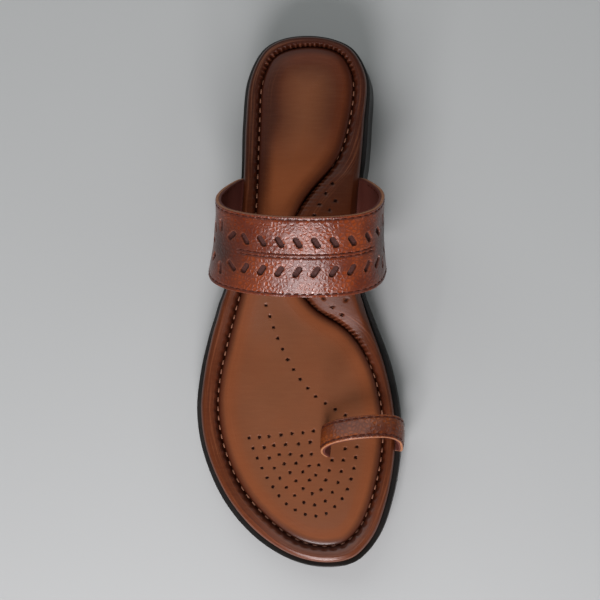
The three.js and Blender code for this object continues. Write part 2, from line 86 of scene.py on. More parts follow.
toeTip = (1.0032, 0.156, 1, 1.02)


def smooth(value, low, high):
    # 0 below low, 1 above high, and 3t^2 - 2t^3 between them
    t = np.clip((value - low) / (high - low), 0, 1)
    return t * t * (3 - 2 * t)


def lerp(a, b, share):
    # a plus that share of the way to b
    return a + (b - a) * share


def seatHeight(y):
    # the footbed's seat: ball thickness, easing up to the heel, plus a squared toe spring
    along = 0.5 - y / sole["length"]
    heelShare = 1 - smooth(along, sole["seatEnd"], sole["ballStart"])
    return lerp(sole["ballThickness"], sole["heel"], heelShare) + springLift(along)


def springLift(along):
    # toe spring times the square of the share past where it starts
    start = sole["springStart"]
    return sole["toeSpring"] * np.clip((along - start) / (1 - start), 0, 1) ** 2


def hump(along, rising, falling):
    # an easing up times an easing down
    return smooth(along, *rising) * (1 - smooth(along, *falling))


def floorHeight(y):
    # flat under heel and ball, raised at the waist by the arch lift, plus the toe spring
    along = 0.5 - y / sole["length"]
    return sole["archLift"] * hump(along, sole["breast"], sole["waist"]) + springLift(along)


def cubic(start, end, slope1, slope2, t):
    # the cubic between two points with a slope at each, at a share of the way
    return (start + slope1 * t + (3 * (end - start) - 2 * slope1 - slope2) * t**2
            + (2 * (start - end) + slope1 + slope2) * t**3)


def lengthsAlong(points):
    # the summed distances between a line's points, from 0
    return np.r_[0, np.cumsum(np.linalg.norm(np.diff(points, axis=0), axis=1))]


def closedSpline(knots, share):
    # a loop of cubics through the knots, each with slopes from centripetal spacing
    count = len(knots)
    place = np.asarray(share) % 1 * count
    first = np.floor(place).astype(int)
    t = (place - first)[:, None]
    p0, p1, p2, p3 = [knots[(first + k) % count] for k in (-1, 0, 1, 2)]
    gap = lambda a, b: (((a - b) ** 2).sum(-1) ** 0.25)[:, None]
    a, b, c = gap(p0, p1), gap(p1, p2), gap(p2, p3)
    slope1 = ((p1 - p0) / a - (p2 - p0) / (a + b) + (p2 - p1) / b) * b
    slope2 = ((p2 - p1) / b - (p3 - p1) / (b + c) + (p3 - p2) / c) * b
    return cubic(p1, p2, slope1, slope2, t)


def openSpline(knots, count):
    # cubics through the knots with slopes of half the neighbours' span, at equal steps of length
    knots = np.asarray(knots, float)
    place = np.linspace(0, len(knots) - 1, 1600)
    first = np.minimum(place.astype(int), len(knots) - 2)
    t = (place - first)[:, None]
    ends = np.vstack([2 * knots[0] - knots[1], knots, 2 * knots[-1] - knots[-2]])
    p0, p1, p2, p3 = [ends[first + k] for k in range(4)]
    curve = cubic(p1, p2, 0.5 * (p2 - p0), 0.5 * (p3 - p1), t)
    length = lengthsAlong(curve)
    steps = np.linspace(0, length[-1], count)
    return np.stack([np.interp(steps, length, axis) for axis in curve.T], -1), length[-1]


def outlineKnots(ledge):
    # heel tip, outer side, toe tip, inner side; the third number is the ledge or the seam in mm
    size = sole["ledge"] if ledge else sole["rim"]
    column = (3, 4, 2) if ledge else (5, 6, 3)
    rows = outlineRows
    y = sole["length"] * (0.5 - rows[:, 0])
    outer = np.stack([-rows[:, 1] * sole["ball"], y, rows[:, column[0]] * size], -1)
    inner = np.stack([rows[:, 2] * sole["ball"], y, rows[:, column[1]] * size], -1)
    tips = [(t[1] * sole["ball"], sole["length"] * (0.5 - t[0]), t[column[2]] * size)
            for t in (heelTip, toeTip)]
    return np.vstack([tips[:1], outer, tips[1:], inner[::-1]])


def outlineLoop(count):
    # x, y, ledge and seam at equal steps of length round the sole's edge
    share = np.linspace(0, 1, 8001)
    edge = closedSpline(outlineKnots(True), share)
    length = lengthsAlong(edge[:, :2])
    steps = np.interp(np.arange(count) / count * length[-1], length, share)
    edge = closedSpline(outlineKnots(True), steps)
    return np.c_[edge, closedSpline(outlineKnots(False), steps)[:, 2]]


def inwards(loop):
    # the chord between a point's two neighbours, turned a quarter towards the inside
    chord = np.roll(loop[:, :2], -1, 0) - np.roll(loop[:, :2], 1, 0)
    normal = np.stack([-chord[:, 1], chord[:, 0]], -1)
    return normal / np.linalg.norm(normal, axis=1)[:, None]


def easedLoop(loop, reach):
    # a closed loop blurred along its length by a bell curve of that reach in mm
    step = np.linalg.norm(np.diff(loop[:, :2], axis=0), axis=1).mean()
    turns = np.fft.fftfreq(len(loop))
    bell = np.exp(-2 * (np.pi * turns * reach / step) ** 2)[:, None]
    return np.fft.ifft(np.fft.fft(loop, axis=0) * bell, axis=0).real


def gridFaces(rows, columns, wrapRows=False, wrapColumns=False):
    # four-cornered faces between neighbouring rows and columns of a grid
    r = np.arange(rows if wrapRows else rows - 1)[:, None]
    c = np.arange(columns if wrapColumns else columns - 1)[None, :]
    r2, c2 = (r + 1) % rows, (c + 1) % columns
    return np.stack([r * columns + c, r * columns + c2, r2 * columns + c2, r2 * columns + c],
                    -1).reshape(-1, 4)


def capFaces(first, count, up):
    # faces across a loop, from point k to the point as far back from its start
    k = np.arange(1, count // 2 - 1)
    quads = np.stack([k, k + 1, count - k - 1, count - k], -1)
    half = count // 2
    ends = np.array([(0, 1, count - 1), (half - 1, half, half + 1)])
    return [(faces if up else faces[:, ::-1]) + first for faces in (quads, ends)]


def newPiece(name, points, faces, material, nodes=(), marks=None, flat=None,
             sharp=50, merge=False):
    # points in the last's plan, in mm; marks are numbers per point, flat is a place per point
    mesh = bpy.data.meshes.new(name)
    points = (np.asarray(points).reshape(-1, 3) + planShift) * mm
    corners = np.concatenate([f.ravel() for f in faces]).astype(np.int32)
    sizes = np.concatenate([np.full(len(f), f.shape[1]) for f in faces])
    mesh.vertices.add(len(points))
    mesh.vertices.foreach_set("co", points.astype(np.float32).ravel())
    mesh.loops.add(len(corners))
    mesh.loops.foreach_set("vertex_index", corners)
    mesh.polygons.add(len(sizes))
    mesh.polygons.foreach_set("loop_start", np.r_[0, np.cumsum(sizes)[:-1]].astype(np.int32))
    for key, values in (marks or {}).items():
        layer = mesh.attributes.new(key, "FLOAT", "POINT")
        layer.data.foreach_set("value", np.asarray(values, np.float32).ravel())
    mesh.update(calc_edges=True)
    if flat is not None:
        layer = mesh.uv_layers.new(name="leather")
        layer.data.foreach_set("uv", flat.reshape(-1, 2)[corners].astype(np.float32).ravel())
    if merge:
        body = bmesh.new()
        body.from_mesh(mesh)
        bmesh.ops.remove_doubles(body, verts=body.verts, dist=1e-6)
        body.to_mesh(mesh)
        body.free()
    mesh.shade_smooth()
    if sharp:
        mesh.set_sharp_from_angle(angle=np.radians(sharp))
    mesh.materials.append(material)
    piece = bpy.data.objects.new(name, mesh)
    bpy.context.collection.objects.link(piece)
    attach(piece, "root")
    if nodes:
        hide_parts(*nodes)
    print(name, len(mesh.polygons), "faces")
    return piece


def sectionGrid(loop, sections, columns, fine=6.0, finer=0.0):
    # lines across a closed loop, closer together towards its two ends and its sides; finer
    # draws those of the forefoot together
    loop = np.roll(loop, -np.argmax(loop[:, 1]), 0)
    toe = np.argmin(loop[:, 1])
    outer, inner = loop[:toe + 1], np.vstack([loop[toe:], loop[:1]])[::-1]
    span = loop[0, 1] - loop[toe, 1]
    crowd = lambda count, size: 1 - 0.93 * (
        np.exp(-np.linspace(0, size, count) / fine) + np.exp(-np.linspace(size, 0, count) / fine))
    spread = lambda pace: np.r_[0, np.cumsum(pace) / pace.sum()]
    pace = crowd(sections, span) * (1 - finer * smooth(np.linspace(0, 1, sections), 0.35, 0.45))
    y = loop[0, 1] - span * spread(pace)
    left = np.interp(-y, -outer[:, 1], outer[:, 0])
    right = np.interp(-y, -inner[:, 1], inner[:, 0])
    share = spread(crowd(columns, 75))
    x = lerp(left[:, None], right[:, None], share[None, :])
    return np.stack([x, np.repeat(y[:, None], len(share), 1)], -1)


def reachInside(points, loop, limit):
    # distance to the nearest point of a loop, in mm, cut off at a limit
    flat = points.reshape(-1, 2).astype(np.float32)
    loop = loop[:, :2].astype(np.float32)
    result = np.full(len(flat), limit, np.float32)
    for first in range(0, len(flat), 8000):
        part = flat[first:first + 8000]
        away = ((part[:, None, :] - loop[None, :, :]) ** 2).sum(-1)
        result[first:first + 8000] = np.minimum(np.sqrt(away.min(1)), limit)
    return result.reshape(points.shape[:-1])


def gridBody(top, base):
    # a section grid as a closed body: its top, a skirt at its two sides and flat faces below
    rows, columns = top.shape[:2]
    lower = np.stack([base[:, 0], base[:, -1]], 1)
    points = np.vstack([top.reshape(-1, 3), lower.reshape(-1, 3)])
    below = rows * columns
    r = np.arange(rows - 1)
    left, right = r * columns, r * columns + columns - 1
    lowLeft, lowRight = below + 2 * r, below + 2 * r + 1
    sides = [np.stack([left, left + columns, lowLeft + 2, lowLeft], -1)[:, ::-1],
             np.stack([right, right + columns, lowRight + 2, lowRight], -1),
             np.stack([lowLeft, lowRight, lowRight + 2, lowLeft + 2], -1)]
    return points, [gridFaces(rows, columns)[:, ::-1], *sides]


def wave(place, wavelengths, seed):
    # a few sines of those wavelengths in scattered directions, averaged, from -1 to 1
    draw = np.random.default_rng(seed)
    total = 0
    for size in wavelengths:
        angle, phase = draw.uniform(0, 2 * np.pi, 2)
        along = place[..., 0] * np.cos(angle) + place[..., 1] * np.sin(angle)
        total = total + np.sin(2 * np.pi * along / size + phase)
    return total / len(wavelengths)


class Dye:
    # one socket of a material: arithmetic on it adds Math nodes, node() adds any other
    def __init__(self, tree, socket=None):
        self.tree = tree
        self.socket = socket

    def node(self, kind, settings=None, sockets=None, output=0):
        # a new node's output; a socket takes a plain value or a link from another dye
        made = self.tree.nodes.new("ShaderNode" + kind)
        for key, value in (settings or {}).items():
            setattr(made, key, value)
        for key, value in (sockets or {}).items():
            if isinstance(value, Dye):
                self.tree.links.new(value.socket, made.inputs[key])
            elif value is not None:
                made.inputs[key].default_value = value
        return Dye(self.tree, made.outputs[output])

    def sum(self, operation, first, second=None):
        return self.node("Math", {"operation": operation}, {0: first, 1: second})

    def __add__(self, other):
        return self.sum("ADD", self, other)

    def __sub__(self, other):
        return self.sum("SUBTRACT", self, other)

    def __rsub__(self, other):
        return self.sum("SUBTRACT", other, self)

    def __mul__(self, other):
        return self.sum("MULTIPLY", self, other)

    __radd__ = __add__
    __rmul__ = __mul__

    def eased(self, low, high):
        # 0 below low, 1 above high, and 3t^2 - 2t^3 between them
        return self.node("MapRange", {"interpolation_type": "SMOOTHSTEP"},
                         {"Value": self, "From Min": low, "From Max": high})


def colour(red, green, blue):
    # display values from 0 to 255 as the linear colour a shader takes
    share = np.array([red, green, blue]) / 255
    linear = np.where(share <= 0.04045, share / 12.92, ((share + 0.055) / 1.055) ** 2.4)
    return (*[float(v) for v in linear], 1.0)


def mixed(mask, low, high):
    # low where the mask is 0 and high where it is 1, each a dye or display values
    low, high = [tone if isinstance(tone, Dye) else colour(*tone) for tone in (low, high)]
    return mask.node("Mix", {"data_type": "RGBA"}, {0: mask, 6: low, 7: high}, output=2)


def coated(base, coats):
    # a colour with others laid over it in turn, each where its mask is 1
    for mask, tone in coats:
        base = mixed(mask, base, tone)
    return base


def finished(name, paint, **plain):
    # a material whose paint function gives the links, and whose other numbers are plain
    material = bpy.data.materials.new(name)
    material.use_nodes = True
    tree = material.node_tree
    tree.nodes.clear()
    start = Dye(tree)
    shader = tree.nodes.new("ShaderNodeBsdfPrincipled")
    for key, value in plain.items():
        shader.inputs[key.replace("_", " ")].default_value = value
    for key, value in paint(start).items():
        tree.links.new(value.socket, shader.inputs[key])
    output = tree.nodes.new("ShaderNodeOutputMaterial")
    tree.links.new(shader.outputs[0], output.inputs[0])
    return material


def noise(start, place, scale, detail=2.0, roughness=0.5):
    # smooth noise of about 1/scale metres, from 0 to 1
    return start.node("TexNoise", None, {"Vector": place, "Scale": scale, "Detail": detail,
                                         "Roughness": roughness})


def bumped(height, depth, strength=1.0):
    # a normal from a height of 0 to 1, as deep as depth in metres
    return height.node("Bump", None, {"Height": height, "Distance": depth, "Strength": strength})


def mark(start, name):
    # a piece's own number at each point, such as the distance to a seam
    return start.node("Attribute", {"attribute_name": name}, output=2)


def grainOf(start, place, cell):
    # a leather's pebbles: low in the creases between cells about that many metres wide
    wander = start.node("VectorMath", {"operation": "SCALE"}, {
        0: start.node("TexNoise", None, {"Vector": place, "Scale": 0.7 / cell}, output=1),
        "Scale": cell * 0.8})
    bent = start.node("VectorMath", {"operation": "ADD"}, {0: place, 1: wander})
    crease = start.node("TexVoronoi", {"feature": "DISTANCE_TO_EDGE"},
                        {"Vector": bent, "Scale": 1 / cell})
    return crease.eased(0.0, 0.42)


# outsole: one black moulding with a flared wall, a welt lip and a low tread
def rubberPaint(start):
    # black in soft clouds, with a fine bloom
    place = start.node("TexCoord", output=3)
    cloud = noise(start, place, 90, 3)
    fine = noise(start, place, 2600, 2)
    return {"Base Color": mixed(cloud.eased(0.3, 0.8), (12, 10, 8), (22, 18, 15)),
            "Roughness": 0.3 + cloud * 0.22,
            "Normal": bumped(fine, 0.00006)}


rubber = finished("soleRubber", rubberPaint, Specular_IOR_Level=0.3)
soleEdge = outlineLoop(sole["stations"])
soleNormals = inwards(soleEdge)


def insetLoop(distance, height):
    # the outline moved inwards, at a height that follows the length
    xy = soleEdge[:, :2] + soleNormals * np.reshape(distance, (-1, 1))
    return np.c_[xy, height(xy[:, 1]) * np.ones(len(xy))]


def outsoleLoops():
    # from the underside round the foot of the wall, up its flare, over the lip to the seat
    y = soleEdge[:, 1]
    flare = sole["flare"] * (seatHeight(y) - floorHeight(y)) / sole["heel"]
    corner, lip = sole["edgeRound"], sole["lipRound"]
    lipFoot = lambda y: seatHeight(y) - sole["lip"]
    turn = np.radians(np.linspace(0, 90, 6))
    loops = [insetLoop(reach - flare, lambda y: floorHeight(y) + up)
             for reach, up in sole["treadRecess"]]
    loops += [insetLoop(corner * (1 - np.sin(angle)) - flare,
                        lambda y: floorHeight(y) + corner * (1 - np.cos(angle))) for angle in turn]
    loops += [insetLoop(lerp(-flare, sole["lipOverhang"], share),
                        lambda y: lerp(floorHeight(y) + corner, lipFoot(y), share))
              for share in np.linspace(0.12, 1, 10)]
    loops += [insetLoop(reach, lambda y: lipFoot(y) + up) for reach, up in sole["underLip"]]
    loops += [insetLoop(lip * (1 - np.sin(angle)) * sole["lipTaper"],
                        lambda y: lipFoot(y) + sole["lipSide"] + lip * (1 - np.cos(angle)))
              for angle in turn]
    loops += [insetLoop(lip * (1 - np.cos(angle)),
                        lambda y: seatHeight(y) - lip * (1 - np.sin(angle))) for angle in turn]
    loops += [insetLoop(reach, seatHeight) for reach in sole["seatRings"]]
    return np.stack(loops)


loops = outsoleLoops()
rows, count = loops.shape[:2]
newPiece("soleMoulding", loops,
         [gridFaces(rows, count, wrapColumns=True), *capFaces(0, count, False),
          *capFaces((rows - 1) * count, count, True)],
         rubber, ["outsole"], sharp=40)


def treadGrid():
    # zigzag grooves across a flat sole, fading at its edge and left out under the waist
    t = treadPattern
    rim = insetLoop(t["inset"] - sole["flare"], floorHeight)
    plan = sectionGrid(rim, *t["lines"])
    away = reachInside(plan, rim, 9)
    zigzag = np.abs((plan[..., 0] / t["zigzagWidth"]) % 2 - 1) * t["zigzagReach"]
    rib = np.abs(((plan[..., 1] + zigzag) / t["pitch"]) % 1 - 0.5) * 2
    groove = (1 - smooth(rib, *t["groove"])) * smooth(away, *t["border"])
    grooved = 1 - hump(0.5 - plan[..., 1] / sole["length"], *t["plainWaist"])
    z = floorHeight(plan[..., 1]) + t["depth"] * groove * grooved
    return np.concatenate([plan, z[..., None]], -1)


tread = treadGrid()
points, faces = gridBody(tread, tread + np.array([0, 0, treadPattern["thickness"]]))
newPiece("tread", points, [f[:, ::-1] for f in faces], rubber, merge=True, sharp=45)
print("sole done")

# footbed: a padded rim wrapped in leather, a stitched channel, and the pad inside it
footbed = {
    "thickness": 6.8, "clearance": 0.3, "roundReach": 7.0, "archRise": 4.0, "padShoulder": 8.0,
    "stations": 1240, "seamEase": 3.0, "stitchPitch": 4.4, "stitchLength": 2.3,
    "stitchRadius": 0.33, "pinholeRadius": 0.72, "pinholeDepth": 0.75,
    "wideMiddle": (0.34, 0.74), "lip": 0.86, "lipReach": 0.13,  # shares across the rim
    "scallop": 0.2, "waistScallop": 0.42, "scallopInwards": 0.6,
    "crease": 0.6, "creases": (1.9, 2.7, 1.3, 4.4),
    "rimSag": 0.1, "rimWaves": (31, 23, 17), "padSag": 0.22, "padWaves": (47, 33, 26, 19),
    "padCrown": 0.35, "padLines": (520, 188), "padFiner": 0.4,
    "archHoleRise": 2, "stitchHeight": 0.69, "stitchLift": 0.25,
}
rimSection = [(0, 0.42), (0.05, 0.66), (0.16, 0.86), (0.34, 0.985), (0.48, 1), (0.6, 1),
              (0.74, 0.97), (0.9, 0.83), (1, 0.66)]  # across to the seam, share of thickness
padSection = [(0, 0.5), (0.03, 0.66), (0.11, 0.83), (0.32, 0.94), (0.62, 1), (1, 1.03)]

rimFoot = np.array([  # in from the ledge in mm and share of thickness, from below up to the edge
    (2.6, 0), (1.4, 0), (0.9, 0), (0.35, 0.05), (0.14, 0.16), (0.04, 0.3)])
rimChannel = np.array([(0.5, 0.56), (1.1, 0.5), (1.7, 0.42), (1.8, 0.05)])  # the same past the seam

footbedEdge = outlineLoop(footbed["stations"])
footbedNormals = inwards(footbedEdge)
sharpSeam = footbedEdge[:, :2] + footbedNormals * footbedEdge[:, 3:4]
seam = easedLoop(sharpSeam, footbed["seamEase"])
closedSeam = np.vstack([seam, seam[:1]])
seamLength = lengthsAlong(closedSeam)
stitchCount = int(round(seamLength[-1] / footbed["stitchPitch"]))
stitchPhase = 2 * np.pi * stitchCount * seamLength[:-1] / seamLength[-1]


def footbedBase(y):
    # the footbed's underside: the seat plus a clearance
    return seatHeight(y) + footbed["clearance"]


def waistShare(place):
    # 1 along the inner waist and round the heel, where the rim's lip is crinkled
    along = 0.5 - place[..., 1] / sole["length"]
    innerSide = smooth(place[..., 0], -6, 6)
    return np.maximum(innerSide * hump(along, (0.2, 0.3), (0.56, 0.66)),
                      1 - smooth(along, 0.06, 0.12))


def rimGrid():
    # sections round the sole: underside, edge, crowned top, lip and channel; the wide part of
    # the arch gets its extra width in the middle and rises by a squared sine
    f = footbed
    profile, _ = openSpline(rimSection, 400)
    across = np.r_[np.linspace(0, 0.32, 13) ** 1.3 * 0.32 ** -0.3, np.linspace(0.34, 0.72, 34),
                   np.linspace(0.735, 1, 19)]
    height = np.interp(across, profile[:, 0], profile[:, 1])[:, None]
    across = across[:, None]
    ledge, reach = footbedEdge[None, :, 2], footbedEdge[None, :, 3]
    width = reach - ledge
    rounded = np.minimum(width, f["roundReach"])
    inset = ledge + across * rounded + (width - rounded) * smooth(across, *f["wideMiddle"])
    # the lip is scalloped at each stitch, twice as finely where it is crinkled
    lip = np.exp(-((across - f["lip"]) / f["lipReach"]) ** 2)
    crinkled = waistShare(seam)[None, :]
    creases = wave(np.stack([seamLength[:-1], np.zeros(len(seam))], -1), f["creases"], 7)
    ruffle = lerp(np.cos(stitchPhase), np.cos(2 * stitchPhase), crinkled)
    puff = lerp(f["scallop"], f["waistScallop"], crinkled) * lip * (ruffle + f["crease"] * creases)
    # the underside comes before the top's rows and the channel after them
    every = np.ones_like(reach)
    inset = np.vstack([ledge + rimFoot[:, :1], inset + f["scallopInwards"] * puff,
                       reach + rimChannel[:, :1]])
    height = np.vstack([rimFoot[:, 1:] * every, height * every, rimChannel[:, 1:] * every])
    puff = np.pad(puff, ((len(rimFoot), len(rimChannel)), (0, 0)))
    across = np.vstack([np.zeros((len(rimFoot), 1)), across, np.ones((len(rimChannel), 1))])
    # towards the seam a row follows the eased seam instead of the outline
    plan = footbedEdge[None, :, :2] + footbedNormals[None] * inset[..., None]
    plan = plan + (seam - sharpSeam)[None] * smooth(across, 0.45, 1)[..., None]
    spread = np.clip((width - f["roundReach"]) / f["roundReach"], 0, 1)
    arch = hump(0.5 - plan[..., 1] / sole["length"], sole["archRise"], sole["archFall"])
    rise = f["archRise"] * arch * spread * np.sin(np.pi * across) ** 2
    z = footbedBase(plan[..., 1]) + height * f["thickness"] + rise + puff
    z = z + smooth(across, 0.0, 0.3) * f["rimSag"] * wave(plan, f["rimWaves"], 3)
    # where the crinkled lip puffs up, for a painted highlight on its crests
    crestHighlight = np.clip(2.0 * puff * crinkled, 0, 1)
    return np.concatenate([plan, z[..., None]], -1), np.maximum(reach - inset, 0), crestHighlight


pinhole = {  # mm from the edge: how far points are drawn to it from outside and inside, and where to
    "near": 2, "outside": 0.24, "inside": 0.24, "upper": 0.03, "lower": 0.08,
    "squeeze": (0.1, 0), "press": 0.05, "pressReach": 0.4,
}


def drawn(side, cut):
    # distances from a cut's edge, the small ones squeezed to a line just outside or inside it
    outer = np.where(side < cut["outside"], cut["upper"] + cut["squeeze"][0] * side, side)
    inner = np.where(side > -cut["inside"], -cut["lower"] + cut["squeeze"][1] * side, side)
    return np.where(side > 0, outer, inner)


def pulled(points, centres, radius, depth):
    # points near a hole's edge move onto it; those inside sink; returns places and a hole mark
    p = pinhole
    flat = points.reshape(-1, 3)
    holes = np.zeros(len(flat))
    for centre in centres:
        near = np.flatnonzero((np.abs(flat[:, :2] - centre) < p["near"]).all(1))
        away = flat[near, :2] - centre
        distance = np.maximum(np.linalg.norm(away, axis=1), 1e-6)
        side = distance - radius
        flat[near, :2] = centre + away / distance[:, None] * (radius + drawn(side, p))[:, None]
        inside = side <= 0
        pressed = p["press"] * np.exp(-(np.maximum(side, 0) / p["pressReach"]) ** 2)
        flat[near, 2] -= np.where(inside, depth, pressed)
        holes[near] = np.maximum(holes[near], inside)
    return flat.reshape(points.shape), holes.reshape(points.shape[:-1])


topView = {  # a camera in mm, its focal length and middle in pixels, and a middling height
    "eye": (53.5, -32.4, 850), "focal": 1778.6, "middle": (300, 370), "height": 20,
}


def planOf(pixels, height):
    # where marks noted on the top view lie on a surface that far above the seat
    v = topView
    across, down = (np.asarray(pixels, float) - v["middle"]).T
    eyeX, eyeY, eyeZ = v["eye"]
    z = seatHeight(eyeY - down * (eyeZ - v["height"]) / v["focal"]) + height
    return np.stack([eyeX + across * (eyeZ - z) / v["focal"], eyeY - down * (eyeZ - z) / v["focal"]], -1)


def beaded(count, knots, height):
    # that many holes at even steps along a line through the knots
    return planOf(openSpline(knots, count)[0], height)


forefootRows = [  # holes and knots of the nested rows between ball and toes, and of the ball's line
    (19, [(137.8, 439.2), (150.8, 469.2), (161.9, 488.0), (175.5, 504.9), (194.5, 515.1),
          (205.8, 516.5), (216.5, 513.1), (231.9, 498.1), (240.4, 478.5), (244.6, 458.1),
          (246.1, 447.5)]),
    (15, [(148.2, 438.3), (163.6, 469.4), (176.3, 489.1), (193.6, 503.4), (205.1, 505.4),
          (215.3, 500.6), (227.5, 482.1), (232.3, 461.0), (234.0, 449.6)]),
    (12, [(157.9, 437.4), (175.2, 467.5), (186.7, 483.6), (194.3, 490.5), (203.7, 494.3),
          (211.3, 488.5), (218.5, 470.4), (220.9, 461.0)]),
    (8, [(170.0, 435.8), (180.5, 457.0), (194.3, 475.7), (201.4, 482.3), (205.5, 473.9),
         (208.0, 465.6)]),
    (4, [(180.9, 434.4), (188.1, 445.2), (190.7, 455.9), (198.2, 466.6)]),
    (3, [(191.9, 433.5), (199.5, 443.7), (200.7, 454.8)]),
    (13, [(154.9, 306.2), (166.9, 339.6), (182.9, 371.1), (205.3, 397.8), (234.5, 416.2)]),
]
archRows = [
    (13, [(221.5, 183.6), (210, 202.3), (201, 224), (197, 250), (201, 278), (213.8, 300.5),
          (230.8, 315.7)]),
    (11, [(224.7, 201.5), (214, 222), (209, 248), (213, 272), (222, 288), (235.3, 301)]),
]
padTop = footbed["thickness"] * 1.03 + footbed["clearance"]
ballCorner = (202.6, 432)  # a single hole between the rows and the ball's line
padHoles = np.vstack([*[beaded(*row, padTop) for row in forefootRows], planOf([ballCorner], padTop)])
archHoles = np.vstack([beaded(*row, padTop + footbed["archHoleRise"]) for row in archRows])


def padGrid():
    # sections across the seam's loop: shoulder by distance from it, then a slight crown
    f = footbed
    plan = sectionGrid(seam, *f["padLines"], finer=f["padFiner"])
    away = reachInside(plan, seam, 30)
    profile, _ = openSpline(padSection, 200)
    height = np.interp(away / f["padShoulder"], profile[:, 0], profile[:, 1])
    crown = f["padCrown"] * smooth(away, 6, 28)
    soft = f["padSag"] * smooth(away, 2, 9) * wave(plan, f["padWaves"], 11)
    z = footbedBase(plan[..., 1]) + height * f["thickness"] + crown + soft
    return np.concatenate([plan, z[..., None]], -1), away


# dyes from 0 to 255: glow is a warm band beside the channel, channel the width in mm of its dark,
# partly painted shade; middle a painted sheen on the heel; folds the share of painted light and
# dark lines along the seam; the last a painted light on the pad behind the band
rimDyes = {
    "heel": (54, 20, 8), "fore": (78, 38, 19), "glowHeel": (74, 30, 12), "glowFore": (100, 45, 19),
    "middle": (84, 40, 20), "glow": 0.25, "channel": 3.2, "folds": 0.4, "paintedWaistLight": 0.0,
}
padDyes = {
    "heel": (62, 27, 11), "fore": (107, 65, 42), "glowHeel": (92, 41, 17), "glowFore": (123, 65, 34),
    "middle": (120, 72, 44), "glow": 0.6, "channel": 4.6, "folds": 0.06, "paintedWaistLight": 0.65,
}


def footbedPaint(dyes):
    # brown leather, darker to the heel, with a painted sheen on the middle of the heel: nearly black in
    # the channel and dark beside it, partly burnish and partly painted shade, a warm band past that;
    # toSeam is the distance from it in mm
    def paint(start):
        place = start.node("TexCoord", output=3)
        sideways, lengthwise = [start.node("SeparateXYZ", None, {0: place}, output=k) for k in (0, 1)]
        heelward = lengthwise.eased(0.01, 0.09)
        cloud = noise(start, place, 38, 4, 0.6)
        streaks = noise(start, start.node("Mapping", None, {
            "Vector": place, "Scale": (0.12, 1.0, 1.0)}), 900, 3, 0.6)
        toSeam = mark(start, "toSeam") + (cloud - 0.5) * 1.4
        glowing = mixed(heelward, dyes["glowFore"], dyes["glowHeel"])
        warm = toSeam.eased(1.5, 4.5) * (1 - toSeam.eased(5.0, 12.0))
        # masks for painted shade on the outer heel and forefoot, and for painted light behind the band
        outerHeelShade = (1 - sideways.eased(-0.014, 0.002)) * heelward * (1 - toSeam.eased(6.0, 12.0))
        outerToeShade = (1 - sideways.eased(-0.05, -0.012)) * (1 - heelward)
        behindBandLight = lengthwise.eased(0.03, 0.05) * (1 - lengthwise.eased(0.055, 0.085))
        lines = noise(start, start.node("CombineXYZ", None, {
            0: toSeam * 1.3, 1: lengthwise * 26, 2: sideways * 26}), 1.0, 3, 0.6)
        nearby = (1 - toSeam.eased(6.0, 12.0)) * dyes["folds"]
        hole = mark(start, "hole")
        base = coated(mixed(heelward, dyes["fore"], dyes["heel"]), [
            (cloud.eased(0.3, 0.75) * 0.3, glowing),
            # a painted sheen on the middle of the heel
            (toSeam.eased(3.0, 22.0) * heelward * 0.75, dyes["middle"]),
            (warm * dyes["glow"], glowing),
            # painted shade on the outer side, and painted light on the pad behind the band, where the
            # band shades it
            (outerHeelShade * 0.85, (50, 19, 6)), (outerToeShade * 0.35, (70, 30, 12)),
            (behindBandLight * toSeam.eased(3.0, 9.0) * dyes["paintedWaistLight"], (150, 84, 48)),
            # painted light and dark lines along the seam, as on folds, and faint streaks across the sole
            (lines.eased(0.5, 0.75) * nearby, (146, 88, 58)),
            ((1 - lines.eased(0.28, 0.48)) * nearby, (54, 22, 11)),
            (streaks.eased(0.35, 0.7) * 0.025, (176, 122, 84)),
            # the channel's dark, partly burnish and partly painted shade, a painted highlight on the
            # crests of its lip, and painted shade in the pinholes
            ((1 - toSeam.eased(0.6, dyes["channel"])) * 0.9, (60, 23, 10)),
            ((1 - toSeam.eased(0.2, 1.5)) * 0.75, (38, 14, 6)),
            (mark(start, "crestHighlight") * cloud.eased(0.3, 0.6) * 0.6, (134, 80, 58)),
            (hole, (34, 11, 5))])
        pores = grainOf(start, place, 0.0007)
        height = pores * 0.5 + noise(start, place, 240, 3) * 0.9 + streaks * 0.1 + lines * nearby * 5.0
        toeward = 1 - lengthwise.eased(-0.118, -0.085)
        return {"Base Color": base, "Roughness": 0.24 + cloud * 0.18 + hole * 0.6,
                "Coat Weight": toeward * 0.5,
                "Normal": bumped(height, 0.00005, 0.8)}
    return paint


rimLeather = finished("rimLeather", footbedPaint(rimDyes), Specular_IOR_Level=0.17, Coat_Roughness=0.25)
padLeather = finished("padLeather", footbedPaint(padDyes), Specular_IOR_Level=0.16, Coat_Roughness=0.25)


def threadPaint(low, high):
    # thread in two tones, with painted shade at the toe
    def paint(start):
        place = start.node("TexCoord", output=3)
        lengthwise = start.node("SeparateXYZ", None, {0: place}, output=1)
        toeShade = 1 - lengthwise.eased(-0.108, -0.094)
        base = mixed(noise(start, place, 700), low, high)
        return {"Base Color": mixed(toeShade * 0.7, base, (46, 20, 11))}
    return paint


footbedThread = finished("footbedThread", threadPaint((104, 64, 46), (148, 102, 78)), Roughness=0.6,
                         Specular_IOR_Level=0.3)

rimPoints, rimToSeam, rimCrestHighlight = rimGrid()
rimPoints, rimHole = pulled(rimPoints, archHoles, footbed["pinholeRadius"], footbed["pinholeDepth"])
rows, count = rimHole.shape
rim = newPiece("footbedRim", rimPoints, [gridFaces(rows, count, True, True)], rimLeather,
               ["footbed"], marks={"toSeam": rimToSeam, "hole": rimHole, "crestHighlight": rimCrestHighlight})

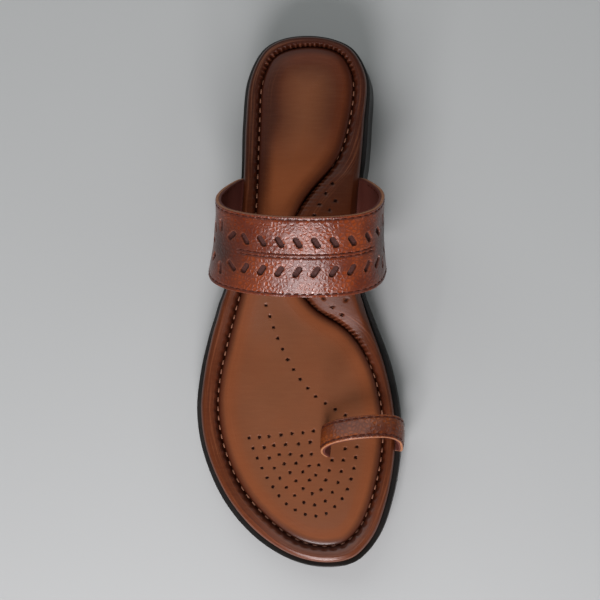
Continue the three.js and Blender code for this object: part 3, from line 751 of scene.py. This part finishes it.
padPoints, padAway = padGrid()
padPoints, padHole = pulled(padPoints, padHoles, footbed["pinholeRadius"], footbed["pinholeDepth"])
padBase = np.copy(padPoints)
padBase[..., 2] = footbedBase(padPoints[..., 1]) + 0.2
points, faces = gridBody(padPoints, padBase)
lower = np.zeros(2 * len(padPoints))
pad = newPiece("footbedPad", points, faces, padLeather,
               marks={"toSeam": np.r_[padAway.ravel(), lower], "hole": np.r_[padHole.ravel(), lower]},
               merge=True)


def stitchRun(name, middle, lengthwise, upwards, length, radius, material):
    # capsules: circles round each stitch's line that shrink at its two ends by a quarter circle
    sides, rings, flatness, sag = 8, 7, 0.8, 0.35
    turn = np.arange(sides) / sides * 2 * np.pi
    bend = np.linspace(-np.pi / 2, np.pi / 2, rings)
    straight = np.sign(np.sin(bend)) * (length / 2 - radius) * (np.abs(bend) > 0.01)
    reach = straight + radius * np.sin(bend)
    size = radius * np.maximum(np.cos(bend), 0.02)[:, None]
    dip = -sag * radius * (reach / (length / 2))[:, None] ** 2
    lengthwise = lengthwise / np.linalg.norm(lengthwise, axis=1)[:, None]
    side = np.cross(upwards, lengthwise)
    side /= np.linalg.norm(side, axis=1)[:, None]
    up = np.cross(lengthwise, side)
    points = (middle[:, None, None] + lengthwise[:, None, None] * reach[None, :, None, None]
              + side[:, None, None] * (size * np.cos(turn))[None, ..., None]
              + up[:, None, None] * (flatness * size * np.sin(turn) + dip)[None, ..., None])
    first = np.arange(len(middle))[:, None, None] * rings * sides
    caps = np.array([np.arange(sides)[::-1], (rings - 1) * sides + np.arange(sides)])
    faces = [(gridFaces(rings, sides, wrapColumns=True)[None] + first).reshape(-1, 4),
             (caps[None] + first).reshape(-1, sides)]
    newPiece(name, points, faces, material, sharp=0)


def channelStitches():
    # one stitch at each beat of the seam, lying in the channel and further in at the waist
    length = seamLength[-1]
    beats = (np.arange(stitchCount) + 0.5) / stitchCount * length
    at = lambda s: np.stack([np.interp(s % length, seamLength, axis) for axis in closedSeam.T], -1)
    xy, ahead = at(beats), at(beats + 0.5) - at(beats - 0.5)
    inward = np.stack([-ahead[:, 1], ahead[:, 0]], -1) / np.linalg.norm(ahead, axis=1)[:, None]
    xy = xy + inward * lerp(0.15, 0.9, waistShare(xy))[:, None]
    z = (footbedBase(xy[:, 1]) + footbed["thickness"] * footbed["stitchHeight"]
         + footbed["stitchLift"])
    slope = seatHeight(xy[:, 1] + ahead[:, 1]) - seatHeight(xy[:, 1])
    upwards = np.c_[inward * -0.15, np.ones(len(xy))]
    return np.c_[xy, z], np.c_[ahead, slope], upwards


middle, ahead, upwards = channelStitches()
stitchRun("channelStitches", middle, ahead, upwards, footbed["stitchLength"],
          footbed["stitchRadius"], footbedThread)
print("footbed done")

# straps: leather with a lining under it, on a sheet ruled between curves through its folds
band = {
    "width": 38.5, "thickness": 2.6, "along": 67.5, "lean": 24, "rearRise": 55, "frontRise": 47,
    "bulge": 9, "outerBulge": (0.87, 0.86), "innerBulge": (1, 1.31),  # shares, rear and front
    "rearShoulder": 25, "frontShoulder": 13, "tuck": 9,
    "slotLength": 6, "slotWidth": 2.7, "slotDepth": 1.15, "slotPitch": 8, "slotSlant": 31,
    "slotRow": 7, "slotPairs": 8, "slotsFromFlower": 14.5,
    "flowerRadius": 10.3, "flowerFromEnd": 49, "petals": 7,
    "outerBurnish": (1, 15), "innerBurnish": (2, 14),  # past the flower's centre, and its reach
    "edgeSeam": 1.45, "middleSeam": -0.5, "seamGap": 1.6, "seamFromFlower": (11, 11.4),
    "edgeGroove": (0.28, 0.5), "middleGroove": (0.34, 0.42),  # depth and reach
    "stitchPitch": 3.35, "stitchLength": 2.3, "stitchRadius": 0.3, "stitchEnds": (14, 14),
    "leatherBase": -0.15, "leatherLines": (600, 122, 10), "liningLines": (300, 40, 30),
}
toeLoop = {
    "width": 11.8, "thickness": 2.2, "along": 192, "lean": 23, "frontRise": 21, "rearRise": 17,
    "innerReach": 33.2, "bulge": 0.6, "skew": 3, "tuck": 9,
    "swell": 0.3, "edgeSeam": 1.35, "edgeGroove": (0.26, 0.5),
    "stitchPitch": 3.3, "stitchLength": 2.2, "stitchRadius": 0.28, "stitchEnds": (7, 12),
    "leatherBase": -0.1, "leatherLines": (330, 44, 8), "liningLines": (200, 16, 12),
}
slotCut = {  # mm from a slot's edge, as for a pinhole, and how far its lip reaches
    "near": 5, "outside": 0.24, "inside": 0.34, "upper": 0.02, "lower": 0.13,
    "squeeze": (0.1, 0.1), "press": 0.12, "pressReach": 0.35, "lip": 0.32,
}
bandLegFolds = [(-0.2, 0), (0.03, 0.01), (0.22, 0.07), (0.46, 0.24), (0.7, 0.46), (0.9, 0.72), (1, 1)]
bandTopFolds = [(-0.985, 0.25), (-0.92, 0.48), (-0.78, 0.68), (-0.54, 0.85), (-0.24, 0.955), (0.1, 1),
                (0.42, 0.985), (0.7, 0.89), (0.88, 0.7), (0.965, 0.46), (0.995, 0.22)]
loopTopFolds = [(-0.01, 0.03), (-0.065, 0.28), (-0.05, 0.58), (0.08, 0.84), (0.32, 0.975), (0.6, 1),
                (0.84, 0.9), (0.97, 0.62), (1, 0.28)]
ledgeEdge = outlineLoop(4000)


def edgeAt(y, innerSide):
    # x and ledge where one side of the outline passes a section
    side = ledgeEdge[2000:] if innerSide else ledgeEdge[:2001]
    side = side[np.argsort(side[:, 1])]
    return np.interp(y, side[:, 1], side[:, 0]), np.interp(y, side[:, 1], side[:, 2])


def bandFolds(share):
    # folds at a share of the band's width, 0 at its rear edge, in a plane leaned to the toe
    b = band
    lean = np.radians(b["lean"])
    y = sole["length"] / 2 - b["along"] - share * b["width"] * np.cos(lean / 2)
    shoulder = lerp(b["rearShoulder"], b["frontShoulder"], share)
    rise = lerp(b["rearRise"], b["frontRise"], share)
    base = footbedBase(y) + b["thickness"] / 2
    (outerX, outerLedge), (innerX, innerLedge) = edgeAt(y, False), edgeAt(y, True)
    outerFoot, innerFoot = outerX + outerLedge, innerX - innerLedge
    outerWidest = outerX - b["bulge"] * lerp(*b["outerBulge"], share)
    innerWidest = innerX + b["bulge"] * lerp(*b["innerBulge"], share)
    place = lambda x, up: (x, y - up * np.sin(lean), base + up * np.cos(lean))
    leg = lambda foot, widest: [place(lerp(foot, widest, out), up * shoulder)
                                for out, up in bandLegFolds]
    top = [place(lerp(outerWidest, innerWidest, (across + 1) / 2), lerp(shoulder, rise, up))
           for across, up in bandTopFolds]
    return [place(outerFoot + b["tuck"], 0), *leg(outerFoot, outerWidest), *top,
            *leg(innerFoot, innerWidest)[::-1], place(innerFoot - b["tuck"], 0)]


def loopFolds(share):
    # folds at a share of the toe loop's width, from its slot in the pad to the big-toe edge
    b = toeLoop
    y = sole["length"] / 2 - b["along"] + (0.5 - share) * b["width"]
    lean = np.radians(b["lean"])
    rise = lerp(b["rearRise"], b["frontRise"], share)
    seat = footbedBase(y)
    edgeX, ledge = edgeAt(y, True)
    slotX, widest = edgeX - b["innerReach"], edgeX + b["bulge"]
    top, tucked, foot = seat + footbed["thickness"], seat + b["thickness"] / 2, edgeX - ledge
    over = [(lerp(slotX, widest, across), y + up * rise * np.sin(lean) + across * b["skew"],
             top + up * rise * np.cos(lean)) for across, up in loopTopFolds]
    y2 = y + b["skew"]
    return [(slotX, y, seat), (slotX, y, lerp(seat, top, 0.5)), *over,
            (lerp(foot, widest, 0.9), y2, lerp(tucked, top, 0.42)),
            (lerp(foot, widest, 0.5), y2, lerp(tucked, top, 0.08)),
            (lerp(foot, widest, -0.4), y2, tucked), (foot - b["tuck"], y2, tucked)]


class Strap:
    # the ruled middle sheet of a strap, looked up by length from its middle and offset across it
    def __init__(self, folds, width):
        self.width = width
        self.steps = 1600
        self.shares = np.linspace(-0.02, 1.02, 27)
        curves = [openSpline(folds(share), self.steps) for share in self.shares]
        self.sheet = np.stack([curve for curve, _ in curves])
        self.lengths = np.array([length for _, length in curves])
        self.length = openSpline(folds(0.5), 2)[1]
        across = np.gradient(self.sheet, axis=0)
        lengthwise = np.gradient(self.sheet, axis=1)
        normal = np.cross(across, lengthwise)
        self.normals = normal / np.linalg.norm(normal, axis=-1)[..., None]

    def lookUp(self, table, along, offset):
        # a straight blend between the four nearest entries
        share = (0.5 + offset / self.width - self.shares[0]) / (self.shares[-1] - self.shares[0])
        row = np.clip(share * (len(self.shares) - 1), 0, len(self.shares) - 1.001)
        length = np.interp(0.5 + offset / self.width, self.shares, self.lengths)
        column = np.clip((0.5 + along / length) * (self.steps - 1), 0, self.steps - 1.001)
        r, c = row.astype(int), column.astype(int)
        nextRow, nextColumn = (row - r)[..., None], (column - c)[..., None]
        rear = lerp(table[r, c], table[r, c + 1], nextColumn)
        front = lerp(table[r + 1, c], table[r + 1, c + 1], nextColumn)
        return lerp(rear, front, nextRow)

    def place(self, along, offset, out):
        # the sheet's point plus its normal times the height over it
        along, offset, out = np.broadcast_arrays(along, offset, out)
        normal = self.lookUp(self.normals, along, offset)
        return self.lookUp(self.sheet, along, offset) + normal * np.asarray(out)[..., None]

    def normal(self, along, offset):
        # the sheet's normal, looked up without any height
        return self.lookUp(self.normals, *np.broadcast_arrays(along, offset))


def strapSection(width, high, low, topCount, lowCount, corner=0.45):
    # a closed section: top face, rounded upper corners, cut sides, underside; cut is 1 where the
    # edge shows, from halfway round a corner to the first point below
    half = width / 2
    turn = np.radians(np.linspace(0, 90, 5))[1:]
    top = np.linspace(-half + corner, half - corner, topCount)
    front = np.stack([half - corner + corner * np.sin(turn), high - corner + corner * np.cos(turn)], -1)
    frontSide = np.stack([np.full(3, half), np.linspace(high - corner - 0.06, low + 0.1, 3)], -1)
    under = np.stack([np.linspace(half - 0.12, -half + 0.12, lowCount), np.full(lowCount, low)], -1)
    rear = front[::-1] * (-1, 1)
    rearSide = frontSide[::-1] * (-1, 1)
    section = np.vstack([np.stack([top, np.full(topCount, high)], -1), front, frontSide, under,
                         rearSide, rear])
    sideCut = np.array([0, 0, 1, 1, 1, 1, 1, 1.0])
    cut = np.r_[np.zeros(topCount), sideCut, np.zeros(lowCount - 2), sideCut[::-1]]
    return section, cut


def strapBody(strap, section, steps, shape=None):
    # the section carried along the strap, its two ends closed by flat faces; shape moves points
    along = np.linspace(-strap.length / 2, strap.length / 2, steps)[:, None]
    offset = np.repeat(section[None, :, 0], steps, 0)
    out = np.repeat(section[None, :, 1], steps, 0)
    along = np.repeat(along, len(section), 1)
    marks = {}
    if shape:
        along, offset, out, marks = shape(along, offset, out)
    points = strap.place(along, offset, out)
    count = len(section)
    ends = np.array([np.arange(count), (steps - 1) * count + np.arange(count)[::-1]])
    flat = np.stack([along, offset], -1) * mm
    return points, [gridFaces(steps, count, wrapColumns=True)[:, ::-1], ends], marks, flat


def slotMarks():
    # along, offset and slant of every slot: two flowers of seven petals and the slanted pairs
    b = band
    outerFlower = b["flowerFromEnd"] - bandStrap.length / 2
    firstPair = outerFlower + b["slotsFromFlower"]
    pairs = firstPair + np.arange(b["slotPairs"]) * b["slotPitch"]
    innerFlower = pairs[-1] + b["slotsFromFlower"]
    marks = [(at, row * b["slotRow"], -row * b["slotSlant"]) for at in pairs for row in (-1, 1)]
    for centre, facing in ((outerFlower, 0), (innerFlower, 180)):
        angles = facing + 360 / (b["petals"] + 1) * np.arange(1, b["petals"] + 1)
        turn = np.radians(angles)
        marks += list(zip(centre + b["flowerRadius"] * np.cos(turn),
                          b["flowerRadius"] * np.sin(turn), 90 - angles))
    return marks, outerFlower, innerFlower


bandStrap = Strap(bandFolds, band["width"])
slots, outerFlower, innerFlower = slotMarks()
seamEnds = (outerFlower + band["seamFromFlower"][0], innerFlower - band["seamFromFlower"][1])


def ridge(place, centre, reach):
    # a bell curve round a centre
    return np.exp(-((place - centre) / reach) ** 2)


def bandShape(along, offset, out):
    # slots: points within a capsule sink; those near its edge move onto it for a clean cut.
    # seams press shallow grooves; the leather swells a little between them
    b, c = band, slotCut
    top = out > b["thickness"] / 2 - 0.01
    depth, slotShare, lipHighlight = np.zeros(out.shape), np.zeros(out.shape), np.zeros(out.shape)
    radius, straight = b["slotWidth"] / 2, (b["slotLength"] - b["slotWidth"]) / 2
    along, offset = along.copy(), offset.copy()
    for middle, across, slant in slots:
        near = np.nonzero(top & (np.abs(along - middle) < c["near"])
                          & (np.abs(offset - across) < c["near"]))
        axis = np.array([np.sin(np.radians(slant)), np.cos(np.radians(slant))])
        away = np.stack([along[near] - middle, offset[near] - across], -1)
        nearest = np.clip(away @ axis, -straight, straight)[:, None] * axis
        apart = away - nearest
        distance = np.maximum(np.linalg.norm(apart, axis=1), 1e-6)
        side = distance - radius
        spot = nearest + apart / distance[:, None] * (radius + drawn(side, c))[:, None]
        along[near], offset[near] = middle + spot[:, 0], across + spot[:, 1]
        inside = side <= 0
        pressed = c["press"] * np.exp(-np.maximum(side, 0) / c["pressReach"])
        depth[near] = np.maximum(depth[near], np.where(inside, b["slotDepth"], pressed))
        slotShare[near] = np.maximum(slotShare[near], inside)
        # a ring just outside each slot's edge, for a painted highlight on its lip
        lipHighlight[near] = np.maximum(lipHighlight[near], ridge(side, 0, c["lip"]) * ~inside)
    seam = b["width"] / 2 - b["edgeSeam"]
    (edgeDepth, edgeReach), (middleDepth, middleReach) = b["edgeGroove"], b["middleGroove"]
    edgeGroove = ridge(offset, seam, edgeReach) + ridge(offset, -seam, edgeReach)
    between = (smooth(along, seamEnds[0] - 1, seamEnds[0])
               * (1 - smooth(along, seamEnds[1], seamEnds[1] + 1)))
    middleGroove = between * (ridge(offset, b["middleSeam"] - b["seamGap"] / 2, middleReach)
                              + ridge(offset, b["middleSeam"] + b["seamGap"] / 2, middleReach))
    soft = 0.1 * wave(np.stack([along, offset], -1), (23, 14, 9), 21)
    out = out + top * (soft - depth - edgeDepth * edgeGroove - middleDepth * middleGroove)
    burnish = [np.exp(-((along - flower - past) ** 2 + (offset * 0.9) ** 2) / reach**2)
               for flower, (past, reach) in ((outerFlower, b["outerBurnish"]),
                                             (innerFlower, b["innerBurnish"]))]
    return along, offset, out, {"slot": slotShare, "lip": lipHighlight, "burnish": np.maximum(*burnish),
                                "groove": np.clip(edgeGroove + middleGroove, 0, 1) * top}


bandDyes = {"low": (92, 33, 9), "high": (132, 57, 17)}
loopDyes = {"low": (98, 41, 12), "high": (138, 69, 24)}


def strapPaint(dyes):
    # pebbled brown leather, lighter and redder in clouds, with painted shade in the grain's creases and
    # a painted highlight on the slots' lips; dark round the flowers and in seams
    def paint(start):
        place = start.node("UVMap", {"uv_map": "leather"})
        grain = grainOf(start, place, 0.0019)
        cloud = noise(start, place, 55, 3, 0.55)
        slot, cut, burnish = [mark(start, name) for name in ("slot", "cut", "burnish")]
        base = coated(mixed(cloud.eased(0.32, 0.7), dyes["low"], dyes["high"]), [
            # painted shade in the creases of the grain
            ((1 - grain.eased(0.0, 0.7)) * 0.45, (62, 21, 9)),
            (burnish * (cloud.eased(0.25, 0.6) * 0.5 + 0.5), (42, 14, 6)),
            (mark(start, "groove").eased(0.1, 0.9) * 0.75, (70, 28, 15)),
            # a painted highlight on the slots' lips, and the slots darker
            (mark(start, "lip") * 0.2, (176, 98, 62)), (slot, (58, 18, 7)),
            (cut.eased(0.3, 0.7) * 0.85, (146, 98, 66))])
        height = grain * 1.2 + noise(start, place, 420, 2) * 0.5
        return {"Base Color": base,
                "Roughness": 0.22 + (1 - grain) * 0.12 + cut * 0.3 + slot * 0.5 + burnish * 0.12,
                "Normal": bumped(height, 0.0001, 0.75)}
    return paint


def liningPaint(start):
    # reddish brown in soft clouds, with a fine nap
    place = start.node("TexCoord", output=3)
    return {"Base Color": mixed(noise(start, place, 60, 3), (70, 31, 25), (92, 46, 37)),
            "Normal": bumped(noise(start, place, 1500, 2), 0.00005)}


bandHide = finished("bandHide", strapPaint(bandDyes), Specular_IOR_Level=0.5)
loopHide = finished("loopHide", strapPaint(loopDyes), Specular_IOR_Level=0.42)
liningLeather = finished("liningLeather", liningPaint, Roughness=0.55, Specular_IOR_Level=0.3)
strapThread = finished("strapThread", threadPaint((52, 17, 9), (80, 32, 18)),
                       Roughness=0.7, Specular_IOR_Level=0.2)


def strapPieces(name, strap, settings, shape, hide, node):
    # a strap's shaped leather, and the slightly narrower lining under it
    high, low = settings["thickness"] / 2, settings["leatherBase"]
    steps, topCount, lowCount = settings["leatherLines"]
    section, cut = strapSection(settings["width"], high, low, topCount, lowCount)
    points, faces, marks, flat = strapBody(strap, section, steps, shape)
    marks["cut"] = np.repeat(cut[None], steps, 0)
    newPiece(name + "Leather", points, faces, hide, [node], marks, flat, sharp=38)
    steps, topCount, lowCount = settings["liningLines"]
    section, _ = strapSection(settings["width"] - 0.3, low - 0.05, -high, topCount, lowCount, 0.2)
    points, faces, _, flat = strapBody(strap, section, steps)
    newPiece(name + "Lining", points, faces, liningLeather, flat=flat)


def sewn(name, strap, rows, out, settings):
    # stitches in rows along a strap, each at its offset, at a height over the middle sheet
    along = np.concatenate([row for row, _ in rows])
    offset = np.concatenate([np.full_like(row, side) for row, side in rows])
    middle = strap.place(along, offset, out)
    ahead = strap.place(along + 0.4, offset, out) - strap.place(along - 0.4, offset, out)
    stitchRun(name, middle, ahead, strap.normal(along, offset), settings["stitchLength"],
              settings["stitchRadius"], strapThread)


def rowAlong(low, high, pitch):
    # the middles of equal steps between two ends
    count = int((high - low) / pitch)
    return low + (np.arange(count) + 0.5) / count * (high - low)


def edgeRows(strap, settings):
    # two rows of stitches near a strap's edges, short of the ends that the sole holds
    half, ends = strap.length / 2, settings["stitchEnds"]
    row = rowAlong(-half + ends[0], half - ends[1], settings["stitchPitch"])
    side = settings["width"] / 2 - settings["edgeSeam"]
    return [(row, side), (row, -side)]


strapPieces("band", bandStrap, band, bandShape, bandHide, "instep_band")
middleRow = rowAlong(*seamEnds, band["stitchPitch"])
middleRows = [(middleRow, band["middleSeam"] + side * band["seamGap"] / 2) for side in (-1, 1)]
sewn("bandStitches", bandStrap, edgeRows(bandStrap, band) + middleRows,
     band["thickness"] / 2 - 0.12, band)
sewn("liningStitches", bandStrap, edgeRows(bandStrap, band), -band["thickness"] / 2 - 0.02, band)
print("instep band done")

loopStrap = Strap(loopFolds, toeLoop["width"])


def loopShape(along, offset, out):
    # two seams press grooves near the edges, and the leather swells between them
    t = toeLoop
    top = out > t["thickness"] / 2 - 0.01
    half, (depth, reach) = t["width"] / 2, t["edgeGroove"]
    groove = (ridge(offset, half - t["edgeSeam"], reach)
              + ridge(offset, t["edgeSeam"] - half, reach))
    swell = t["swell"] * (1 - (offset / half) ** 2)
    soft = 0.08 * wave(np.stack([along, offset], -1), (15, 9, 6), 5)
    out = out + top * (swell + soft - depth * groove)
    return along, offset, out, {"groove": np.clip(groove, 0, 1) * top,
                                "burnish": 0.35 * smooth(np.abs(along), 22, 40)}


strapPieces("loop", loopStrap, toeLoop, loopShape, loopHide, "toe_loop")
sewn("loopStitches", loopStrap, edgeRows(loopStrap, toeLoop), toeLoop["thickness"] / 2 + 0.02,
     toeLoop)
print("toe loop done")

# the room: a pale floor, soft lights, and the camera high over the ball of the foot
room = {"floor": 3.0, "world": 0.16, "camera": topView["eye"], "aim": (1.4, 0.0, 15), "focal": 106.7}
lights = {  # place, aim, size, power and tint
    "toeLight": ((-0.12, -0.62, 0.7), (0, 0, 0), (0.42, 0.36), 6.4, (1, 0.94, 0.96)),
    "lowToeLight": ((-0.05, -0.85, 0.34), (0, -0.1, 0), (0.3, 0.1), 6.5, (1, 0.94, 0.95)),
    "fillLight": ((-0.45, 0.85, 0.9), (0, 0, 0), (1.6, 1.2), 8.5, (1, 1, 1)),
    "rightLight": ((0.75, 0.1, 0.5), (0, 0, 0), (0.2, 0.9), 0.6, (1, 1, 1)),
}


def areaLight(name, place, aim, size, power, tint):
    # a soft box at a place in metres, turned to its aim
    light = bpy.data.lights.new(name, "AREA")
    light.shape = "RECTANGLE"
    light.size, light.size_y = size
    light.energy = power
    light.color = tint
    lamp = bpy.data.objects.new(name, light)
    bpy.context.collection.objects.link(lamp)
    lamp.matrix_world = aimed(np.array(place), np.array(aim))


def aimed(place, aim):
    # right, up and backwards as columns, from the line of sight and the lengthwise direction
    sight = (aim - place) / np.linalg.norm(aim - place)
    right = np.cross(sight, (0, 1, 0))
    right /= np.linalg.norm(right)
    turn = np.stack([right, np.cross(right, sight), -sight, place], -1)
    return Matrix([*turn.tolist(), [0, 0, 0, 1]])


floorMesh = bpy.data.meshes.new("floor")
far = room["floor"] / 2
floorMesh.from_pydata([(-far, -far, 0), (far, -far, 0), (far, far, 0), (-far, far, 0)], [],
                      [(0, 1, 2, 3)])
floorMesh.materials.append(finished("paleFloor", lambda start: {}, Base_Color=colour(163, 167, 167),
                                    Roughness=0.8))
floor = bpy.data.objects.new("floor", floorMesh)
bpy.context.collection.objects.link(floor)
floor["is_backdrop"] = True

world = bpy.data.worlds.new("studio")
bpy.context.scene.world = world
world.use_nodes = True
world.node_tree.nodes["Background"].inputs["Color"].default_value = (1, 1, 1, 1)
world.node_tree.nodes["Background"].inputs["Strength"].default_value = room["world"]
for name, settings in lights.items():
    areaLight(name, *settings)

camera = bpy.data.objects.new("camera", bpy.data.cameras.new("camera"))
camera.data.lens = room["focal"]
camera.data.sensor_width = 36
bpy.context.collection.objects.link(camera)
camera.matrix_world = aimed((np.array(room["camera"]) + planShift) * mm,
                            (np.array(room["aim"]) + planShift) * mm)
bpy.context.scene.camera = camera
bpy.context.scene.view_settings.view_transform = "Standard"

corners = lambda box: [[float(v) for v in corner] for corner in box]
{"cad": corners(cadBox), "visual": corners(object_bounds())}
